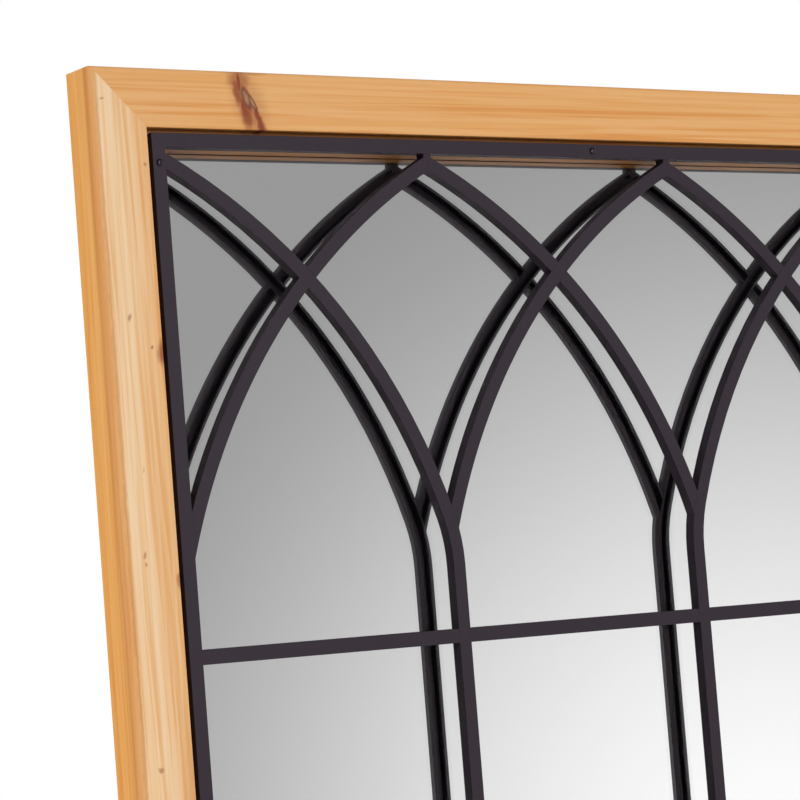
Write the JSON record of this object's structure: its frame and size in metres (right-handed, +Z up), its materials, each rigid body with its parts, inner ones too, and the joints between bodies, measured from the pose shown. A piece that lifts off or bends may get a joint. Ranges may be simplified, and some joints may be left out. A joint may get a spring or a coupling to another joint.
{
  "type": "wall mirror",
  "caption": "Wall mirror in a mitred softwood frame, with a black steel window grille of interlaced pointed arches in front of the glass and swinging rings to hang it by.",
  "frame": {"origin": "on the wall plane, midway between the two hanging rings' pivots", "axes": "+X to the viewer's right, +Y from the mirror's front into the wall, +Z up"},
  "size_m": [0.813, 0.0437, 1.23],
  "materials": {
    "fir_wood": "clear satin oil on planed and sanded knotty fir",
    "black_steel": "satin black paint",
    "mirror_glass": "float glass silvered on its rear face",
    "felt_pad": "thin grey felt",
    "hardboard": "smooth brown hardboard",
    "zinc_steel": "bright zinc plate",
    "rubber": "matt black rubber"
  },
  "bodies": {
    "frame": {"backing_board": "hardboard", "board_screws": "zinc_steel", "bottom_rail": "fir_wood", "glass_pad": "felt_pad", "grille_bottom_bar": "black_steel", "grille_left_bar": "black_steel", "grille_right_bar": "black_steel", "grille_screws": "black_steel", "grille_top_bar": "black_steel", "hanger_screws": "zinc_steel", "left_arch_lower": "black_steel", "left_arch_upper": "black_steel", "left_hanger_strap": "zinc_steel", "left_mullion": "black_steel", "left_stile": "fir_wood", "lower_crossbar_left": "black_steel", "lower_crossbar_middle": "black_steel", "lower_crossbar_right": "black_steel", "middle_arch_lower": "black_steel", "middle_arch_upper": "black_steel", "middle_arch_whole": "black_steel", "mirror_glass": "mirror_glass", "mitre_wedges": "zinc_steel", "right_arch_lower": "black_steel", "right_arch_upper": "black_steel", "right_hanger_strap": "zinc_steel", "right_mullion": "black_steel", "right_stile": "fir_wood", "top_rail": "fir_wood", "upper_crossbar_left": "black_steel", "upper_crossbar_middle": "black_steel", "upper_crossbar_right": "black_steel", "wall_bumpers": "rubber"},
    "left_ring": {"left_hanger_ring": "zinc_steel"},
    "right_ring": {"right_hanger_ring": "zinc_steel"}
  },
  "joints": [
    {"name": "left_ring_hinge", "type": "hinge", "parent": "frame", "child": "left_ring", "pos_m": [-0.3895, -0.00368, 0], "axis": [-1, 0, 0], "range_deg": [0, 165]},
    {"name": "right_ring_hinge", "type": "hinge", "parent": "frame", "child": "right_ring", "pos_m": [0.3895, -0.00368, 0], "axis": [-1, 0, 0], "range_deg": [0, 165]}
  ]
}
